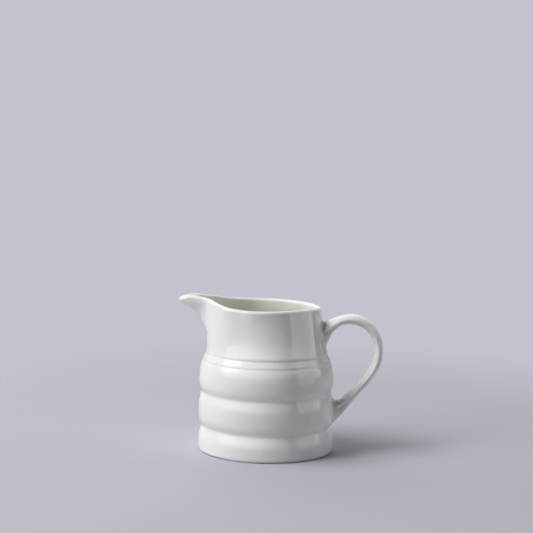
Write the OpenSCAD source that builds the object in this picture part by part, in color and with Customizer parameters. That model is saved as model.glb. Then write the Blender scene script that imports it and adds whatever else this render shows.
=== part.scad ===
// White porcelain cream jug: a straight-sided banded body with a tapering oval neck,
// a pulled pouring lip and a loop handle stuck on with slip at two joints.
// Millimetres. The body's axis is Z, the resting face is z = 0,
// the handle is towards +X and the pouring lip towards -X.

/* [Body] */
// Radius of the three plain bands
band_r = 39; // [37:0.25:41]
// Height where the turned body ends and the neck begins
neck_z = 58; // [57.5:0.25:58.5]
// Radius at the start of the neck
neck_r = 35; // [34.5:0.1:35.4]
// Thickness of the cast wall
wall = 3; // [2.4:0.1:3.4]
// Height of the inside floor above the resting face
floor_z = 5; // [4:0.25:7]
// Radius of the rounded bottom edge
foot_round = 1.8; // [1:0.1:2.4]

/* [Bands and lines] */
// Heights of the deepest points of the two wide soft grooves
groove_z = [14.6, 34.3];
// Depths of the two wide grooves
groove_depth = [1.8, 1.4];
// Heights of the two fine incised lines on the shoulder
line_z = [52.1, 56.4];
// Depth of a fine line
line_depth = 0.3; // [0.15:0.01:0.35]
// Radius of the tool that cut the fine lines
line_tool_r = 1.5; // [1:0.1:2]

/* [Foot] */
// Outer radius of the flat resting ring
foot_r = 37.2; // [36.6:0.1:37.6]
// Width of the resting ring
foot_w = 3.2; // [2:0.1:4]
// Height of the hollow under the floor
foot_hollow = 1.2; // [0.6:0.1:1.6]

/* [Neck and pouring lip] */
// Height of the rim at the handle side
rim_z = 84; // [82:0.25:87]
// Reach of the pouring lip beyond the oval rim
lip_reach = 15.4; // [12:0.2:16.6]
// Half width of the pouring lip
lip_half = 6.4; // [5.8:0.1:7]
// How far the sides of the neck are drawn in above the shoulder
side_tuck = 0.7; // [0:0.1:1.2]

/* [Handle] */
// Half width of the strap
strap_half = 5.6; // [4.5:0.1:6.5]

/* [Hidden] */
$fn = 96;

porcelain = [0.93, 0.93, 0.95];
lip_round = wall / 2;

// Turned wall without its grooves: [height, how far it stands in from band_r]
wall_setback = [[0, 0], [8, -0.05], [24, 0.05], [40, 0.2], [43, 0.25], [45.5, 0.5], [47.5, 0.75], [49, 1.05],
                [51, 1.55], [53, 2.3], [55, 3.1], [neck_z, band_r - neck_r], [60, band_r - neck_r + 0.5]];

// Cross-section of a wide groove: [height from its deepest point, share of its depth]
groove_shape = [[-10, 0], [-7.5, 0.03], [-5, 0.24], [-3, 0.55], [-1.2, 0.86], [0, 1], [1, 0.83], [2, 0.53],
                [3.8, 0.17], [6, 0.02], [9, 0]];

// How hollow the neck's outline is between the shoulder and the rim; 0 is straight
neck_bend = 0.38;

// Where the sides are drawn in: [share of the neck's height, share of side_tuck]
tuck_shape = [[0, 0], [0.1, 0.5], [0.2, 0.85], [0.3, 1], [0.6, 0.6], [1, 0]];

// Rim seen from above, without the pouring lip: [azimuth from the handle, radius]
rim_plan = [[-15, 30.2], [0, 30.8], [15, 30.2], [30, 29.2], [45, 28.6], [63, 28.7], [78, 29.3], [92, 30.3],
            [105, 31.3], [120, 32], [136, 33.5], [150, 34.6], [165, 35.5], [180, 36], [195, 35.5]];

// Rise of the rim above rim_z: [distance from the axis towards the lip, rise]
rim_rise = [[-40, -1.4], [-31, -0.7], [-24, -0.2], [-16, 0], [0, 0], [12, 0.15], [20, 0.6], [25, 1.3],
            [30, 2.6], [35, 4.1], [40, 5], [44, 5.2], [48, 4.6], [50, 4], [51.6, 3.4], [54, 2.6]];

// How far the pouring lip has swung out: [share of the neck's height, share of its reach]
lip_swing = [[-0.1, 0], [0, 0], [0.18, -0.05], [0.37, 0], [0.5, 0.09], [0.62, 0.18], [0.73, 0.29],
             [0.8, 0.4], [0.86, 0.57], [0.92, 0.84], [1, 1], [1.05, 1.04]];

// Control rows of the handle's spline: [outer x, outer z, inner x, inner z, half width added to strap_half]
controls = [[21.9, 73.9, 22.5, 63.1, 6.2], [29.8, 74.1, 33.5, 57, 3.6], [36.1, 76.1, 35.8, 66.7, 0.6],
            [41.9, 78.7, 41.6, 73.6, 0], [49.5, 80.2, 49.5, 74, 0], [58.1, 77.4, 55, 72, 0],
            [64, 70.5, 59.5, 67.9, 0], [67.1, 62.5, 62, 62, 0], [67.2, 54.2, 61.9, 55.3, 0],
            [64.3, 46.4, 59.5, 49.1, 0], [59.8, 40.2, 55.5, 43.3, 0], [54.8, 34.6, 50.8, 37.8, 0],
            [49.9, 28.6, 45.9, 33, 0], [43.8, 20.7, 42.5, 29.1, 0], [36.3, 12.9, 37.5, 29.8, 1.3],
            [28, 6.6, 27.6, 39.9, 4.6]];
last_span = len(controls) - 3;
// Places along the spline where the two slip joints end and the handle proper begins
upper_cut = 1;
lower_cut = last_span - 1;

section_points = 28;
steps_per_span = 4;
half_turn = 48;
neck_rows = 16;
inner_rows = 12;
lip_arc_rows = 5;

// Index of the table row that v falls after
function row_before(table, v, i = 0) =
    i >= len(table) - 2 || table[i + 1][0] > v ? i : row_before(table, v, i + 1);

// Slope of the table at row i
function slope_at(table, i) =
    let (a = max(i - 1, 0), b = min(i + 1, len(table) - 1))
    (table[b][1] - table[a][1]) / (table[b][0] - table[a][0]);

// Smooth curve through a table of [position, value]
function smooth(table, v) =
    let (i = row_before(table, v), p = table[i], q = table[i + 1],
         w = q[0] - p[0], t = (v - p[0]) / w)
    p[1] * (1 + 2 * t) * (1 - t) * (1 - t) + q[1] * t * t * (3 - 2 * t)
    + slope_at(table, i) * w * t * (1 - t) * (1 - t) - slope_at(table, i + 1) * w * t * t * (1 - t);

// Depth of wide groove i at height z
function groove(z, i) =
    groove_depth[i] * smooth(groove_shape, max(-10, min(9, z - groove_z[i])));

// Outer and inner radius of the turned body at height z, below the neck
function outer_r(z) = band_r - smooth(wall_setback, z) - groove(z, 0) - groove(z, 1);
function inner_r(z) = band_r - smooth(wall_setback, z) - wall - 0.4 * (groove(z, 0) + groove(z, 1));

foot_arc = [for (a = [0 : 15 : 90]) [foot_r + (band_r - foot_r) * sin(a), foot_round * (1 - cos(a))]];
wall_outline = [for (z = [3 : 1 : neck_z]) [outer_r(z), z]];
floor_corner = 7;
inner_corner = [for (a = [0 : 15 : 75]) [inner_r(floor_z + floor_corner) - floor_corner * (1 - sin(a)),
                                         floor_z + floor_corner * (1 - cos(a))]];
inner_outline = [for (z = [floor_z + floor_corner : 1.5 : neck_z - 1]) [inner_r(z), z]];

// A point on the outside of the neck; az is its azimuth, s runs from 0 at neck_z to 1 at the lip
function neck_outer(az, s) =
    let (turn = abs(az), plan = smooth(rim_plan, turn),
         pull = turn < 90 ? 0 : exp(-pow(plan * sin(turn) / lip_half, 3)),
         top = rim_z + smooth(rim_rise, lip_reach * pull - plan * cos(turn)) - lip_round,
         tuck = side_tuck * pow(sin(turn), 2) * smooth(tuck_shape, s),
         r = plan + (neck_r - plan) * (1 - s) * (1 - neck_bend * s) - tuck)
    [r * cos(az) - lip_reach * pull * smooth(lip_swing, s), r * sin(az), neck_z + (top - neck_z) * s];

function unit(v) = v / norm(v);

// Inward direction of the wall at a point of the neck, level at the lip
function inward(az, s) =
    let (da = neck_outer(az + 0.2, s) - neck_outer(az - 0.2, s),
         ds = neck_outer(az, min(s + 0.01, 1)) - neck_outer(az, s - 0.01),
         n = unit(cross(ds, da)), level = max(0, (s - 0.86) / 0.14))
    unit([n[0], n[1], n[2] * (1 - level)]);
function neck_inner(az, s) = neck_outer(az, s) + wall * inward(az, s);
function lip_point(az, a) =
    let (out = neck_outer(az, 1), across = wall * inward(az, 1))
    out + across * (1 - cos(a)) / 2 + [0, 0, lip_round * sin(a)];

// Azimuths round the neck, closer together at the pouring lip
azimuths = [for (i = [-half_turn : half_turn - 1])
            let (f = i / half_turn) 180 * (0.25 * f + 0.75 * sin(90 * f))];
around = len(azimuths);
outer_steps = [for (i = [1 : neck_rows]) 1 - pow(1 - i / neck_rows, 1.3)];

// Triangles between the rings of a tube; closed joins the last ring to the first
function tube_faces(n, rings, closed) =
    [for (j = [0 : rings - (closed ? 1 : 2)], i = [0 : n - 1])
        let (k = (i + 1) % n, a = j * n, b = ((j + 1) % rings) * n)
        each [[a + i, b + i, b + k], [a + i, b + k, a + k]]];

// A level ring of radius r at height z
function level_ring(r, z) = [for (az = azimuths) [r * cos(az), r * sin(az), z]];

// The neck is let 1 mm into the turned body, just clear of its faces
neck_sink = 0.02;
sunk_ring = level_ring(neck_r - 1, neck_z - 1);
sunk_inner_ring = level_ring(neck_r - wall + 1, neck_z - 1);
joint_ring = level_ring(neck_r - neck_sink, neck_z);
inner_joint_ring = level_ring(neck_r - wall + neck_sink, neck_z);
outer_rings = [for (s = outer_steps) [for (az = azimuths) neck_outer(az, s)]];
lip_rings = [for (j = [1 : lip_arc_rows])
             [for (az = azimuths) lip_point(az, 180 * j / (lip_arc_rows + 1))]];
inner_rings = [for (i = [0 : inner_rows - 1])
               let (s = pow(1 - i / inner_rows, 0.8)) [for (az = azimuths) neck_inner(az, s)]];

module neck_shell() {
    rings = concat([sunk_ring, joint_ring], outer_rings, lip_rings,
                   inner_rings, [inner_joint_ring, sunk_inner_ring]);
    polyhedron(points = [for (ring = rings) each ring], faces = tube_faces(around, len(rings), true));
}

// A closed solid from a stack of rings
module capped_tube(rings) {
    n = len(rings[0]);
    count = len(rings);
    bottom = [for (i = [1 : n - 2]) [0, i, i + 1]];
    top = [for (f = [1 : n - 2]) [(count - 1) * n, (count - 1) * n + f + 1, (count - 1) * n + f]];
    sides = tube_faces(n, count, false);
    polyhedron(points = [for (ring = rings) each ring], faces = concat(sides, bottom, top));
}

// The neck filled in solid, to trim the upper joint to its surface
module neck_block() {
    capped_tube(concat([sunk_ring, joint_ring], outer_rings));
}

module turned_outline(filled) {
    inside = filled ? [[0, neck_z], [0, 0]]
        : concat([[inner_r(neck_z - 0.01), neck_z]],
                 [for (i = [len(inner_outline) - 1 : -1 : 0]) inner_outline[i]],
                 [for (i = [len(inner_corner) - 1 : -1 : 0]) inner_corner[i]],
                 [[0, floor_z], [0, foot_hollow], [foot_r - foot_w - 1, foot_hollow], [foot_r - foot_w, 0]]);
    polygon(concat(foot_arc, wall_outline, inside));
}

module jug_body() {
    color(porcelain) {
        difference() {
            rotate_extrude() turned_outline(false);
            for (z = line_z)
                rotate_extrude()
                    translate([outer_r(z) + line_tool_r - line_depth, z])
                        circle(r = line_tool_r, $fn = 32);
        }
        neck_shell();
    }
}

// The control rows blended by a uniform cubic spline at t, from 0 to last_span
function spline_at(t) =
    let (i = min(floor(t), last_span - 1), u = t - i,
         share = [pow(1 - u, 3), 3 * pow(u, 3) - 6 * u * u + 4,
                  -3 * pow(u, 3) + 3 * u * u + 3 * u + 1, pow(u, 3)])
    share * [for (k = [0 : 3]) controls[i + k]] / 6;

// One oval section of the handle
function handle_ring(t) =
    let (s = spline_at(t), mid = [s[0] + s[2], s[1] + s[3]] / 2, half = [s[0] - s[2], s[1] - s[3]] / 2)
    [for (i = [0 : section_points - 1])
        let (a = 360 * i / section_points)
        [mid[0] + half[0] * cos(a), (strap_half + s[4]) * sin(a), mid[1] + half[1] * cos(a)]];

module handle_span(from, to) {
    steps = (to - from) * steps_per_span;
    capped_tube([for (i = [0 : steps]) handle_ring(from + (to - from) * i / steps)]);
}

module handle() {
    color(porcelain) handle_span(upper_cut, lower_cut);
}

module upper_handle_joint() {
    color(porcelain)
        difference() {
            handle_span(0, upper_cut);
            neck_block();
        }
}

module lower_handle_joint() {
    color(porcelain)
        difference() {
            handle_span(lower_cut, last_span);
            rotate_extrude() turned_outline(true);
        }
}

jug_body();
handle();
upper_handle_joint();
lower_handle_joint();
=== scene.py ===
# White porcelain cream jug on a plain lilac-grey floor.
# Lengths in the outline tables are millimetres; MM turns them into metres.
import math

import bmesh
import bpy
import numpy as np
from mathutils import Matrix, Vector


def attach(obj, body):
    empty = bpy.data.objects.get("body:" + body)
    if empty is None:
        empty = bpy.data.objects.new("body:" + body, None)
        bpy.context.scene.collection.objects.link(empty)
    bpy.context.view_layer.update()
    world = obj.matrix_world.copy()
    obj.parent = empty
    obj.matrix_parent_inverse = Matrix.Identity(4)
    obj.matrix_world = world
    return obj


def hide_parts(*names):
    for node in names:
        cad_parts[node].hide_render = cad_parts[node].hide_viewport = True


MM = 0.001
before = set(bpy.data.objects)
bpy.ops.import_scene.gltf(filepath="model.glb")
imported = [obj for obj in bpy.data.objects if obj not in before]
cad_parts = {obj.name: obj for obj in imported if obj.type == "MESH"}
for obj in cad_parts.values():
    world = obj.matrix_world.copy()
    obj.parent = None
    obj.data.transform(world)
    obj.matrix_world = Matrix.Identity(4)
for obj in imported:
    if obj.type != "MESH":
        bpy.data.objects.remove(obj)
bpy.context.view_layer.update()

# ---------------------------------------------------------------- dimensions
# Radius of the body across its bands, and the height and radius where the neck begins
BAND_R = 39.0
NECK_Z = 58.0
NECK_R = 34.98
# Wall thickness, height of the floor inside and the round between floor and wall
WALL = 3.0
FLOOR_Z = 5.0
FLOOR_CORNER = 7.0
# Bottom edge: its round, then the resting ring's outer radius and width, and the hollow inside the ring
FOOT_ROUND = 1.8
FOOT_R = 37.2
FOOT_W = 3.2
FOOT_HOLLOW = 1.2
FOOT_HOLLOW_R = FOOT_R - FOOT_W - 1.6
# Wide grooves (height, depth), how much of them shows inside, and the heights and depth of the fine lines
GROOVES = [(14.6, 1.8), (34.3, 1.4)]
GROOVE_INSIDE = 0.4
LINES = [52.1, 56.4]
LINE_DEPTH = 0.3
# Height of the rim, the round along its top, and how far and how wide the pouring lip swings out
RIM_Z = 84.0
LIP_ROUND = WALL / 2
LIP_REACH = 15.4
LIP_HALF = 6.4
# Half the width of the handle
STRAP_HALF = 5.6

# Turned wall without its grooves: height, radius
WALL_R = [(0, BAND_R), (8, BAND_R + 0.05), (24, BAND_R - 0.05), (40, BAND_R - 0.2), (43, BAND_R - 0.25),
          (45.5, BAND_R - 0.5), (47.5, BAND_R - 0.75), (49, BAND_R - 1.05), (51, BAND_R - 1.55),
          (53, BAND_R - 2.3), (55, BAND_R - 3.1), (NECK_Z, NECK_R), (60, NECK_R - 0.5)]
# Share of its depth that a wide groove has, against height from its deepest point
GROOVE_SHAPE = [(-10, 0), (-7.5, 0.03), (-5, 0.24), (-3, 0.55), (-1.2, 0.86), (0, 1), (1, 0.83), (2, 0.53),
                (3.8, 0.17), (6, 0.02), (9, 0)]
# The same for a fine line
LINE_SHAPE = [(-5, 0), (-3.4, 0.04), (-2, 0.22), (-1, 0.52), (-0.3, 0.9), (0, 1), (0.4, 0.72), (0.9, 0.26),
              (1.5, 0.02), (2.2, 0)]
# How hollow the neck's outline is between the shoulder and the rim; 0 is straight
NECK_BEND = 0.38
# The sides of the neck are drawn in above the shoulder: share of its height, share of SIDE_TUCK
SIDE_TUCK = 0.7
TUCK_SHAPE = [(0, 0), (0.1, 0.5), (0.2, 0.85), (0.3, 1), (0.6, 0.6), (1, 0)]
# Rim seen from above, without the lip: azimuth from the handle, radius
RIM_PLAN = [(-15, 30.2), (0, 30.8), (15, 30.2), (30, 29.2), (45, 28.6), (63, 28.7), (78, 29.3), (92, 30.3),
            (105, 31.3), (120, 32), (136, 33.5), (150, 34.6), (165, 35.5), (180, 36), (195, 35.5)]
# Rise of the rim above RIM_Z: distance from the axis towards the lip, rise
RIM_RISE = [(-40, -1.4), (-31, -0.7), (-24, -0.2), (-16, 0), (0, 0), (12, 0.15), (20, 0.6), (25, 1.3),
            (30, 2.6), (35, 4.1), (40, 5), (44, 5.2), (48, 4.6), (50, 4), (51.6, 3.4), (54, 2.6)]
# How far the lip has swung out: share of the neck's height, share of its reach
LIP_SWING = [(-0.1, 0), (0, 0), (0.18, -0.05), (0.37, 0), (0.5, 0.09), (0.62, 0.18), (0.73, 0.29),
             (0.8, 0.4), (0.86, 0.57), (0.92, 0.84), (1, 1), (1.05, 1.04)]
# Handle control rows: outer x, outer z, inner x, inner z, half width added to STRAP_HALF
CONTROLS = np.array([
    [21.9, 73.9, 22.5, 63.1, 6.2], [29.8, 74.1, 33.5, 57, 3.6], [36.1, 76.1, 35.8, 66.7, 0.6],
    [41.9, 78.7, 41.6, 73.6, 0], [49.5, 80.2, 49.5, 74, 0], [58.1, 77.4, 55, 72, 0],
    [64, 70.5, 59.5, 67.9, 0], [67.1, 62.5, 62, 62, 0], [67.2, 54.2, 61.9, 55.3, 0],
    [64.3, 46.4, 59.5, 49.1, 0], [59.8, 40.2, 55.5, 43.3, 0], [54.8, 34.6, 50.8, 37.8, 0],
    [49.9, 28.6, 45.9, 33, 0], [43.8, 20.7, 42.5, 29.1, 0], [36.3, 12.9, 37.5, 29.8, 1.3],
    [28, 6.6, 27.6, 39.9, 4.6]])
LAST_SPAN = len(CONTROLS) - 3
# Places along the handle where the two slip joints end and the handle proper begins
UPPER_CUT = 1
LOWER_CUT = LAST_SPAN - 1


# ---------------------------------------------------------------- curves
def smooth(table, v):
    """Smooth curve through (position, value) rows, at v, a number or an array."""
    p = np.array([row[0] for row in table], float)
    y = np.array([row[1] for row in table], float)
    slope = np.empty_like(y)
    slope[1:-1] = (y[2:] - y[:-2]) / (p[2:] - p[:-2])
    slope[0] = (y[1] - y[0]) / (p[1] - p[0])
    slope[-1] = (y[-1] - y[-2]) / (p[-1] - p[-2])
    i = np.clip(np.searchsorted(p, v, side="right") - 1, 0, len(p) - 2)
    w = p[i + 1] - p[i]
    t = (v - p[i]) / w
    return (y[i] * (1 + 2 * t) * (1 - t) ** 2 + y[i + 1] * t * t * (3 - 2 * t)
            + slope[i] * w * t * (1 - t) ** 2 - slope[i + 1] * w * t * t * (1 - t))


def cut_depth(z, cuts, shape):
    """Depth at height z of cuts (height, depth) that share one cross-section."""
    low, high = shape[0][0], shape[-1][0]
    return sum(depth * smooth(shape, np.clip(z - middle, low, high)) for middle, depth in cuts)


def outer_r(z):
    """Outer radius of the turned body at height z, below the neck."""
    z = np.asarray(z, float)
    fine = cut_depth(z, [(g, LINE_DEPTH) for g in LINES], LINE_SHAPE)
    return smooth(WALL_R, z) - cut_depth(z, GROOVES, GROOVE_SHAPE) - fine


def inner_r(z):
    """Inner radius of the turned body at height z."""
    z = np.asarray(z, float)
    return smooth(WALL_R, z) - WALL - GROOVE_INSIDE * cut_depth(z, GROOVES, GROOVE_SHAPE)


def neck_r(turn, s):
    """Radius of the neck without the lip; turn is the angle from the handle, s the share of its height."""
    plan = smooth(RIM_PLAN, turn)
    tuck = SIDE_TUCK * np.sin(np.radians(turn)) ** 2 * smooth(TUCK_SHAPE, s)
    return plan + (NECK_R - plan) * (1 - s) * (1 - NECK_BEND * s) - tuck


def neck_top(turn, pull):
    """Height where the neck's wall ends and the round of the rim begins; pull is the lip's share there."""
    towards_lip = LIP_REACH * pull - smooth(RIM_PLAN, turn) * np.cos(np.radians(turn))
    return RIM_Z + smooth(RIM_RISE, towards_lip) - LIP_ROUND


def neck_outer(az, s):
    """Points on the outside of the neck; az in degrees from the handle, s from 0 at its foot to 1."""
    az = np.asarray(az, float)
    turn = np.abs(az)
    plan = smooth(RIM_PLAN, turn)
    side = plan * np.sin(np.radians(turn))
    pull = np.where(turn < 90, 0, np.exp(-(side / LIP_HALF) ** 3))
    top = neck_top(turn, pull)
    r = neck_r(turn, s)
    x = r * np.cos(np.radians(az)) - LIP_REACH * pull * smooth(LIP_SWING, s)
    y = r * np.sin(np.radians(az))
    z = NECK_Z + (top - NECK_Z) * s
    return np.stack([x, y, z + 0 * x], -1)


def unit(v):
    return v / np.linalg.norm(v, axis=-1, keepdims=True)


def inward(az, s):
    """Inward direction of the wall at a point of the neck, level at its top."""
    da = neck_outer(az + 0.2, s) - neck_outer(az - 0.2, s)
    ds = neck_outer(az, min(s + 0.01, 1)) - neck_outer(az, s - 0.01)
    n = unit(np.cross(ds, da))
    n[..., 2] *= 1 - max(0, (s - 0.86) / 0.14)
    return unit(n)


def handle_point(t, a):
    """Points on the handle; t runs from 0 to LAST_SPAN, a is the angle round its section."""
    i = np.clip(np.floor(t).astype(int), 0, LAST_SPAN - 1)
    u = (t - i)[..., None]
    s = ((1 - u) ** 3 * CONTROLS[i] + (3 * u ** 3 - 6 * u ** 2 + 4) * CONTROLS[i + 1]
         + (-3 * u ** 3 + 3 * u ** 2 + 3 * u + 1) * CONTROLS[i + 2] + u ** 3 * CONTROLS[i + 3]) / 6
    c, k = np.cos(np.radians(a)), np.sin(np.radians(a))
    x = (s[..., 0] + s[..., 2]) / 2 + (s[..., 0] - s[..., 2]) / 2 * c
    z = (s[..., 1] + s[..., 3]) / 2 + (s[..., 1] - s[..., 3]) / 2 * c
    return np.stack([x, (STRAP_HALF + s[..., 4]) * k, z], -1)


def body_surface(p):
    """p moved straight to or from the axis onto the outside of the body, on its handle side."""
    az = np.degrees(np.arctan2(p[..., 1], p[..., 0]))
    turn = np.abs(az)
    s = (p[..., 2] - NECK_Z) / (neck_top(turn, 0) - NECK_Z)
    r = np.where(p[..., 2] > NECK_Z, neck_r(turn, s), outer_r(np.clip(p[..., 2], 0, NECK_Z)))
    out = p.copy()
    out[..., 0] = r * np.cos(np.radians(az))
    out[..., 1] = r * np.sin(np.radians(az))
    return out


# ---------------------------------------------------------------- meshes
def grid_mesh(name, rings, material, first=0, last=None, capped=False):
    """A tube through rings[first:last + 1] with the normals of the whole tube, and those normals."""
    rings = np.asarray(rings)
    last = len(rings) - 1 if last is None else last
    n = rings.shape[1]
    along = np.gradient(rings, axis=0)
    around = np.roll(rings, -1, axis=1) - np.roll(rings, 1, axis=1)
    normals = np.cross(around, along)
    normals /= np.maximum(np.linalg.norm(normals, axis=-1, keepdims=True), 1e-12)
    part = rings[first:last + 1]
    rows = len(part)
    j, i = np.meshgrid(np.arange(rows - 1), np.arange(n), indexing="ij")
    k = (i + 1) % n
    faces = np.stack([j * n + i, j * n + k, (j + 1) * n + k, (j + 1) * n + i], -1).reshape(-1, 4).tolist()
    verts = (part.reshape(-1, 3) * MM).tolist()
    kept_normals = normals[first:last + 1].reshape(-1, 3).tolist()
    if capped:
        for row, flip in ((0, True), (rows - 1, False)):
            centre = part[row].mean(0)
            verts.append((centre * MM).tolist())
            kept_normals.append([0, 0, -1] if flip else [0, 0, 1])
            hub = len(verts) - 1
            ring = [row * n + m for m in range(n)]
            pairs = zip(ring, ring[1:] + ring[:1])
            faces += [[hub, b, a] if flip else [hub, a, b] for a, b in pairs]
    mesh = bpy.data.meshes.new(name)
    mesh.from_pydata(verts, [], faces)
    mesh.update()
    mesh.shade_smooth()
    mesh.materials.append(material)
    obj = bpy.data.objects.new(name, mesh)
    bpy.context.collection.objects.link(obj)
    return obj, kept_normals


# Azimuths round the body, closer together at the pouring lip
HALF_TURN = 144
AROUND = np.arange(-HALF_TURN, HALF_TURN) / HALF_TURN
AZIMUTHS = 180 * (0.55 * AROUND + 0.45 * np.sin(np.pi / 2 * AROUND))


def turned_ring(r, z):
    """A level ring of radius r at height z."""
    a = np.radians(AZIMUTHS)
    return np.stack([r * np.cos(a), r * np.sin(a), z + 0 * a], -1)


def body_rings():
    """Rings from the middle of the underside, up the outside, over the rim and down to the floor inside."""
    rings = []
    # under the floor, across the resting ring and round the bottom edge
    for r in (0.5, 10, 20, 28, FOOT_HOLLOW_R):
        rings.append(turned_ring(r, FOOT_HOLLOW))
    for a in np.linspace(0, 90, 7)[1:]:
        k = math.radians(a)
        rings.append(turned_ring(FOOT_HOLLOW_R + 1.2 * math.sin(k), FOOT_HOLLOW * math.cos(k) ** 2))
    rings.append(turned_ring(FOOT_R - FOOT_W, 0))
    for a in np.linspace(0, 90, 9):
        k = math.radians(a)
        r = FOOT_R + (BAND_R - FOOT_R) * math.sin(k)
        rings.append(turned_ring(r, FOOT_ROUND * (1 - math.cos(k))))
    # banded wall and shoulder
    for z in np.concatenate([np.arange(2.6, 50, 0.6), np.arange(50, NECK_Z - 0.01, 0.2)]):
        rings.append(turned_ring(outer_r(z), z))
    # neck, lip and inside of the neck
    for s in np.linspace(0, 1, 44):
        rings.append(neck_outer(AZIMUTHS, s))
    across = WALL * inward(AZIMUTHS, 1.0)
    for a in np.linspace(0, math.pi, 12)[1:-1]:
        rings.append(neck_outer(AZIMUTHS, 1) + across * (1 - math.cos(a)) / 2
                     + np.array([0, 0, LIP_ROUND * math.sin(a)]))
    for s in np.linspace(1, 0.04, 36):
        rings.append(neck_outer(AZIMUTHS, s) + WALL * inward(AZIMUTHS, s))
    # inside wall and floor
    for z in np.arange(NECK_Z - 0.8, FLOOR_Z + FLOOR_CORNER, -1.2):
        rings.append(turned_ring(inner_r(z), z))
    for a in np.linspace(90, 0, 10):
        k = math.radians(a)
        r = inner_r(FLOOR_Z + FLOOR_CORNER) - FLOOR_CORNER * (1 - math.sin(k))
        rings.append(turned_ring(r, FLOOR_Z + FLOOR_CORNER * (1 - math.cos(k))))
    for r in (20, 12, 5, 0.5):
        rings.append(turned_ring(r, FLOOR_Z))
    return np.array(rings)


# Points round a section of the handle, and their angles
SECTION = 64
ANGLES = -np.arange(SECTION) * 360 / SECTION
# How far the handle's skin spreads over the body, and in how many rows
FILLET_REACH = 1.6
FILLET_ROWS = 9
# How far the edge of the skin dips under the glaze, and how far along the handle the blend begins
FILLET_SINK = 0.04
FILLET_START = 0.28
# Spans of the handle, from its end, within which it leaves the body
ROOT_SPANS = 2.5


def fillet_rings(near, far):
    """Rings that carry the handle's skin from the ring near, heading for far, round onto the body."""
    foot = body_surface(far)
    away = foot - foot.mean(0)
    radial = unit(foot * np.array([1, 1, 0]))
    away -= (away * radial).sum(-1, keepdims=True) * radial
    spread = body_surface(foot + unit(away) * FILLET_REACH)
    spread -= radial * FILLET_SINK
    t = np.linspace(0, 1, FILLET_ROWS)[1:, None, None]
    return (1 - t) ** 2 * near + 2 * t * (1 - t) * foot + t * t * spread


def root_station(end, beyond):
    """For each angle of the section, the station from end to beyond where the handle leaves the body."""
    found = np.zeros(SECTION)
    for m, a in enumerate(ANGLES):
        ts = np.linspace(end, beyond, 400)
        p = handle_point(ts, np.full_like(ts, a))
        outside = np.hypot(p[:, 0], p[:, 1]) > np.hypot(*body_surface(p)[:, :2].T)
        found[m] = ts[np.argmax(outside)]
    return found


def handle_rings():
    """Rings of the handle with both blends, and the rings where the upper and lower joints are split off."""
    start = root_station(0, ROOT_SPANS)
    end = root_station(LAST_SPAN, LAST_SPAN - ROOT_SPANS)
    t_first = start + FILLET_START
    t_last = end - FILLET_START
    upper = handle_point(t_first, ANGLES)
    lower = handle_point(t_last, ANGLES)
    upper_fillet = fillet_rings(upper, handle_point(start, ANGLES))[::-1]
    lower_fillet = fillet_rings(lower, handle_point(end, ANGLES))
    rows = [*upper_fillet]
    # rings lie straight across the handle between these stations and lean towards the blends outside them
    even_from, even_to = UPPER_CUT + 0.6, LOWER_CUT - 0.4
    for f in np.linspace(0, 1, 12)[:-1]:
        rows.append(handle_point(t_first + (even_from - t_first) * f, ANGLES))
    upper_split = len(rows)
    for t in np.linspace(even_from, even_to, 150):
        rows.append(handle_point(np.full(SECTION, t), ANGLES))
    lower_split = len(rows) - 1
    for f in np.linspace(0, 1, 12)[1:]:
        rows.append(handle_point(even_to + (t_last - even_to) * f, ANGLES))
    rows += [*lower_fillet]
    return np.array(rows), upper_split, lower_split


# ---------------------------------------------------------------- materials
def new_material(name):
    """A material with an empty node tree, and that tree."""
    material = bpy.data.materials.new(name)
    material.use_nodes = True
    tree = material.node_tree
    tree.nodes.clear()
    return material, tree


def add(tree, kind, **values):
    """A new node with its settings made."""
    node = tree.nodes.new(kind)
    for key, value in values.items():
        setattr(node, key, value)
    return node


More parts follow.
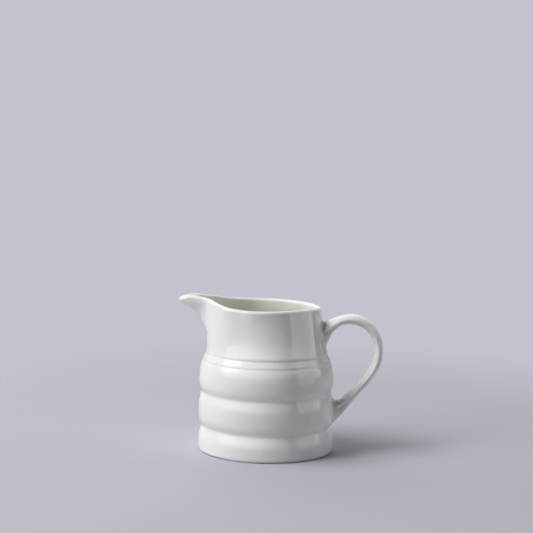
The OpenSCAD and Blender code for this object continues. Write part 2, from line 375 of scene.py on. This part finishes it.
def porcelain_material(name, tint, inside_painted_light_tint, bare_tint):
    """White glaze, left off the resting ring, with painted light inside the jug: a lighter, warmer tint
    standing for the light that bounces round inside.
    """
    material, tree = new_material(name)
    link = tree.links.new
    out = add(tree, "ShaderNodeOutputMaterial")
    bsdf = add(tree, "ShaderNodeBsdfPrincipled")
    bsdf.inputs["IOR"].default_value = 1.5
    place = add(tree, "ShaderNodeTexCoord")
    cloud = add(tree, "ShaderNodeTexNoise")
    cloud.inputs["Scale"].default_value = 22
    cloud.inputs["Detail"].default_value = 3
    shade = add(tree, "ShaderNodeValToRGB")
    shade.color_ramp.elements[0].position = 0.3
    shade.color_ramp.elements[0].color = (tint[0] * 0.985, tint[1] * 0.985, tint[2] * 0.975, 1)
    shade.color_ramp.elements[1].position = 0.7
    shade.color_ramp.elements[1].color = (*tint, 1)
    inside = add(tree, "ShaderNodeAttribute", attribute_name="inside")
    # painted light: inside the jug the glaze gets a lighter, warmer tint, standing for the light that
    # bounces round inside
    inside_painted_light = add(tree, "ShaderNodeMix", data_type="RGBA")
    inside_painted_light.inputs["B"].default_value = (*inside_painted_light_tint, 1)
    bare = add(tree, "ShaderNodeAttribute", attribute_name="bare")
    dull = add(tree, "ShaderNodeMix", data_type="RGBA")
    dull.inputs["B"].default_value = (*bare_tint, 1)
    gloss = add(tree, "ShaderNodeMapRange")
    gloss.inputs["To Min"].default_value = 0.05
    gloss.inputs["To Max"].default_value = 0.08
    matt = add(tree, "ShaderNodeMath", operation="MULTIPLY_ADD", use_clamp=True)
    matt.inputs[1].default_value = 0.65
    ripple = add(tree, "ShaderNodeTexNoise")
    ripple.inputs["Scale"].default_value = 90
    ripple.inputs["Detail"].default_value = 2
    bump = add(tree, "ShaderNodeBump")
    bump.inputs["Strength"].default_value = 0.05
    bump.inputs["Distance"].default_value = 0.0006
    link(place.outputs["Object"], cloud.inputs["Vector"])
    link(place.outputs["Object"], ripple.inputs["Vector"])
    link(cloud.outputs["Fac"], shade.inputs["Fac"])
    link(cloud.outputs["Fac"], gloss.inputs["Value"])
    link(ripple.outputs["Fac"], bump.inputs["Height"])
    link(inside.outputs["Fac"], inside_painted_light.inputs["Factor"])
    link(shade.outputs["Color"], inside_painted_light.inputs["A"])
    link(bare.outputs["Fac"], dull.inputs["Factor"])
    link(inside_painted_light.outputs["Result"], dull.inputs["A"])
    link(dull.outputs["Result"], bsdf.inputs["Base Color"])
    link(bare.outputs["Fac"], matt.inputs[0])
    link(gloss.outputs["Result"], matt.inputs[2])
    link(matt.outputs["Value"], bsdf.inputs["Roughness"])
    link(bump.outputs["Normal"], bsdf.inputs["Normal"])
    link(bsdf.outputs["BSDF"], out.inputs["Surface"])
    return material


GLAZE_TINT = (0.88, 0.88, 0.865)
# Lighter, warmer tint inside the jug: painted light for the light that bounces round inside it
INSIDE_PAINTED_LIGHT_TINT = (0.93, 0.912, 0.865)
BARE_TINT = (0.74, 0.71, 0.66)
porcelain = porcelain_material("glazed_porcelain", GLAZE_TINT, INSIDE_PAINTED_LIGHT_TINT, BARE_TINT)


def mark_rings(obj, name, shares):
    """Stores one share per ring of a grid mesh, and that of the nearest end on its hubs."""
    rows = len(shares)
    count = (len(obj.data.vertices) - 2) // rows
    values = np.append(np.repeat(shares, count), [shares[0], shares[-1]])
    obj.data.attributes.new(name, "FLOAT", "POINT").data.foreach_set("value", values)


# ---------------------------------------------------------------- pieces
# The rings past the highest point of the rim are inside; those of the resting ring are bare.
whole = body_rings()
body = grid_mesh("jug_body_skin", whole, porcelain, capped=True)[0]
high_ring = int(np.argmax(whole[:, 0, 2]))
# the inside rings take the lighter, warmer tint of painted light inside the jug
mark_rings(body, "inside", np.clip((np.arange(len(whole)) - high_ring) / 6, 0, 1))
ring_r = np.hypot(whole[:, 0, 0], whole[:, 0, 1])
on_foot = (whole[:, :, 2].max(1) < 0.3) & (ring_r > FOOT_R - FOOT_W - 0.7) & (ring_r < FOOT_R + 0.9)
mark_rings(body, "bare", on_foot.astype(float))
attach(body, "root")
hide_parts("jug_body")

rings, upper_split, lower_split = handle_rings()
for name, node, slot, first, last in (
        ("upper_handle_joint_skin", "upper_handle_joint", "joint_slip", 0, upper_split),
        ("handle_skin", "handle", "handle_porcelain", upper_split, lower_split),
        ("lower_handle_joint_skin", "lower_handle_joint", "joint_slip", lower_split, len(rings) - 1)):
    piece, normals = grid_mesh(name, rings, porcelain, first, last)
    piece.data.normals_split_custom_set_from_vertices(normals)
    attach(piece, "root")
    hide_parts(node)

# ---------------------------------------------------------------- stage
FLOOR_COLOUR = (0.475, 0.466, 0.522)
PAPER_TONE = (0.555, 0.540, 0.612)
# Metres: half the floor, the backdrop's radius, and how far the front sheet lies above the floor
REACH = 60
BACKDROP_R = 5
SHEET_LIFT = 0.0004
# Distances from the jug between which the floor's own shading runs out into the even tone
RUN_OUT = (0.16, 0.42)
# The floor glows less in front of the jug: y where it has fallen to that share and where it begins to
FRONT_FADE = (-0.3, -0.17)
FRONT_GLOW = 0.3
# y where the front sheet begins and where it covers the floor
SHEET_FADE = (-0.2, -0.29)


def paper_glow(tree):
    """The even tone of paper far from the jug."""
    glow = add(tree, "ShaderNodeEmission")
    glow.inputs["Color"].default_value = (*PAPER_TONE, 1)
    return glow


def floor_material():
    """Matt paper that takes the shadow near the jug and runs out into an even tone further off."""
    material, tree = new_material("floor_paper")
    link = tree.links.new
    out = add(tree, "ShaderNodeOutputMaterial")
    bsdf = add(tree, "ShaderNodeBsdfPrincipled")
    bsdf.inputs["Roughness"].default_value = 0.9
    bsdf.inputs["Specular IOR Level"].default_value = 0.1
    bsdf.inputs["Base Color"].default_value = (*FLOOR_COLOUR, 1)
    glow = paper_glow(tree)
    place = add(tree, "ShaderNodeTexCoord")
    distance = add(tree, "ShaderNodeVectorMath", operation="LENGTH")
    share = add(tree, "ShaderNodeMapRange", interpolation_type="SMOOTHSTEP")
    share.inputs["From Min"].default_value = RUN_OUT[0]
    share.inputs["From Max"].default_value = RUN_OUT[1]
    split = add(tree, "ShaderNodeSeparateXYZ")
    near = add(tree, "ShaderNodeMapRange", interpolation_type="SMOOTHSTEP")
    near.inputs["From Min"].default_value = FRONT_FADE[0]
    near.inputs["From Max"].default_value = FRONT_FADE[1]
    near.inputs["To Min"].default_value = FRONT_GLOW
    mix = add(tree, "ShaderNodeMixShader")
    link(place.outputs["Object"], split.inputs[0])
    link(split.outputs["Y"], near.inputs["Value"])
    link(near.outputs["Result"], glow.inputs["Strength"])
    link(place.outputs["Object"], distance.inputs[0])
    link(distance.outputs["Value"], share.inputs["Value"])
    link(share.outputs["Result"], mix.inputs["Fac"])
    link(bsdf.outputs["BSDF"], mix.inputs[1])
    link(glow.outputs["Emission"], mix.inputs[2])
    link(mix.outputs["Shader"], out.inputs["Surface"])
    return material


def front_paper_material():
    """The paper's even tone in front of the jug, where the floor itself glows less; clear nearer the jug."""
    material, tree = new_material("front_paper")
    link = tree.links.new
    out = add(tree, "ShaderNodeOutputMaterial")
    clear = add(tree, "ShaderNodeBsdfTransparent")
    glow = paper_glow(tree)
    place = add(tree, "ShaderNodeTexCoord")
    split = add(tree, "ShaderNodeSeparateXYZ")
    share = add(tree, "ShaderNodeMapRange", interpolation_type="SMOOTHSTEP")
    share.inputs["From Min"].default_value = SHEET_FADE[0]
    share.inputs["From Max"].default_value = SHEET_FADE[1]
    mix = add(tree, "ShaderNodeMixShader")
    link(place.outputs["Object"], split.inputs[0])
    link(split.outputs["Y"], share.inputs["Value"])
    link(share.outputs["Result"], mix.inputs["Fac"])
    link(clear.outputs["BSDF"], mix.inputs[1])
    link(glow.outputs["Emission"], mix.inputs[2])
    link(mix.outputs["Shader"], out.inputs["Surface"])
    return material


def camera_only(obj):
    """Keeps an object out of light, shadow and reflections."""
    for kind in ("diffuse", "glossy", "transmission", "volume_scatter", "shadow"):
        setattr(obj, "visible_" + kind, False)


def level_sheet(name, height, back, material):
    """A wide level sheet from far in front of the jug to y = back."""
    corners = [(-REACH, -REACH, height), (REACH, -REACH, height), (REACH, back, height),
               (-REACH, back, height)]
    mesh = bpy.data.meshes.new(name)
    mesh.from_pydata(corners, [], [[0, 1, 2, 3]])
    mesh.materials.append(material)
    obj = bpy.data.objects.new(name, mesh)
    bpy.context.collection.objects.link(obj)
    return obj


def round_backdrop():
    """A shell of paper all round the stage, so that every view ends in the same tone."""
    mesh = bpy.data.meshes.new("backdrop")
    shell = bmesh.new()
    bmesh.ops.create_uvsphere(shell, u_segments=48, v_segments=24, radius=BACKDROP_R)
    shell.to_mesh(mesh)
    shell.free()
    material, tree = new_material("backdrop_paper")
    out = add(tree, "ShaderNodeOutputMaterial")
    tree.links.new(paper_glow(tree).outputs["Emission"], out.inputs["Surface"])
    mesh.materials.append(material)
    obj = bpy.data.objects.new("backdrop", mesh)
    bpy.context.collection.objects.link(obj)
    return obj


level_sheet("floor", 0, REACH, floor_material())
camera_only(level_sheet("front_paper", SHEET_LIFT, SHEET_FADE[0], front_paper_material()))
camera_only(round_backdrop())

# ---------------------------------------------------------------- light
# Soft panels: name, angle from the front to the right, height angle, distance, width, height, radiance,
# seen in reflections
PANELS = [
    ("key_high", -82, 59, 1.6, 1.0, 0.7, 7.9, False),
    ("key_front", -57, 45, 1.6, 0.7, 0.7, 4.9, False),
    ("key_low", -61, 11, 1.6, 0.7, 0.4, 5.7, False),
    ("back_left", -156, 40, 1.6, 1.1, 0.6, 2.8, False),
    ("fill_right", 104, 13, 1.6, 0.8, 0.5, 4.4, False),
    ("fill_back", 150, 58, 1.6, 0.6, 0.6, 1.6, False),
    ("window", -72, 32, 2.0, 1.1, 1.1, 3.0, True),
    ("card_front", -2, 28, 1.6, 2.9, 0.68, 0.5, True),
    ("card_right", 81, 17, 1.6, 1.53, 1.1, 1.8, True)]
JUG_MIDDLE = Vector((0, 0, 0.045))


def soft_panel(name, side, climb, distance, width, height, radiance, mirrored):
    """A soft panel turned to the jug; mirrored ones show in the glaze, the others only light it."""
    a, e = math.radians(side), math.radians(climb)
    way = Vector((math.sin(a) * math.cos(e), -math.cos(a) * math.cos(e), math.sin(e)))
    light = bpy.data.lights.new(name, "AREA")
    light.shape = "RECTANGLE"
    light.size = width
    light.size_y = height
    light.energy = radiance * math.pi * width * height
    obj = bpy.data.objects.new(name, light)
    obj.location = JUG_MIDDLE + way * distance
    obj.rotation_euler = (-way).to_track_quat("-Z", "Y").to_euler()
    obj.visible_camera = False
    obj.visible_glossy = mirrored
    obj.visible_diffuse = not mirrored
    bpy.context.collection.objects.link(obj)


for row in PANELS:
    soft_panel(*row)

# Studio walls, seen only as reflections: (angle from the front to the right, brightness)
WALLS = [(-180, 1), (-130, 0), (-95, 0), (-75, 2.2), (-20, 2.6), (0, 2), (25, 1), (42, 0), (85, 0),
         (115, 0.9), (180, 1)]
# Heights (sine of the angle) between which the walls fade in and out
WALLS_FADE_IN = (0, 0.1)
WALLS_FADE_OUT = (0.77, 0.87)


def studio_walls():
    """A world for reflections: grey walls, brighter and darker round the jug, behind the backdrop."""
    world = bpy.data.worlds.new("studio")
    world.use_nodes = True
    world.cycles_visibility.diffuse = False
    tree = world.node_tree
    link = tree.links.new
    background = tree.nodes["Background"]
    direction = add(tree, "ShaderNodeTexCoord")
    split = add(tree, "ShaderNodeSeparateXYZ")
    flip = add(tree, "ShaderNodeMath", operation="MULTIPLY")
    flip.inputs[1].default_value = -1
    turn = add(tree, "ShaderNodeMath", operation="ARCTAN2")
    share = add(tree, "ShaderNodeMapRange")
    share.inputs["From Min"].default_value = -math.pi
    share.inputs["From Max"].default_value = math.pi
    walls = add(tree, "ShaderNodeValToRGB")
    while len(walls.color_ramp.elements) < len(WALLS):
        walls.color_ramp.elements.new(0.5)
    for stop, (angle, grey) in zip(walls.color_ramp.elements, WALLS):
        stop.position = (angle + 180) / 360
        stop.color = (grey, grey, grey, 1)
    rise = add(tree, "ShaderNodeMapRange", interpolation_type="SMOOTHSTEP")
    rise.inputs["From Min"].default_value = WALLS_FADE_IN[0]
    rise.inputs["From Max"].default_value = WALLS_FADE_IN[1]
    fall = add(tree, "ShaderNodeMapRange", interpolation_type="SMOOTHSTEP")
    fall.inputs["From Min"].default_value = WALLS_FADE_OUT[0]
    fall.inputs["From Max"].default_value = WALLS_FADE_OUT[1]
    fall.inputs["To Min"].default_value = 1
    fall.inputs["To Max"].default_value = 0
    level = add(tree, "ShaderNodeMath", operation="MULTIPLY")
    link(direction.outputs["Generated"], split.inputs["Vector"])
    link(split.outputs["Y"], flip.inputs[0])
    link(split.outputs["X"], turn.inputs[0])
    link(flip.outputs["Value"], turn.inputs[1])
    link(turn.outputs["Value"], share.inputs["Value"])
    link(share.outputs["Result"], walls.inputs["Fac"])
    link(split.outputs["Z"], rise.inputs["Value"])
    link(split.outputs["Z"], fall.inputs["Value"])
    link(rise.outputs["Result"], level.inputs[0])
    link(fall.outputs["Result"], level.inputs[1])
    link(walls.outputs["Color"], background.inputs["Color"])
    link(level.outputs["Value"], background.inputs["Strength"])
    return world


bpy.context.scene.world = studio_walls()

# ---------------------------------------------------------------- camera
# Degrees that the camera looks down and is rolled
LOOK_DOWN = 6.447
CAMERA_ROLL = 1.1
camera_data = bpy.data.cameras.new("camera")
camera_data.lens = 106.8
camera_data.sensor_width = 36
camera = bpy.data.objects.new("camera", camera_data)
camera.location = (-1.2 * MM, -0.9, 0.2078)
camera.rotation_mode = "XYZ"
camera.rotation_euler = (math.radians(90 - LOOK_DOWN), 0, 0)
camera.rotation_euler.rotate_axis("Z", math.radians(CAMERA_ROLL))
bpy.context.collection.objects.link(camera)
bpy.context.scene.camera = camera
bpy.context.scene.view_settings.view_transform = "Standard"
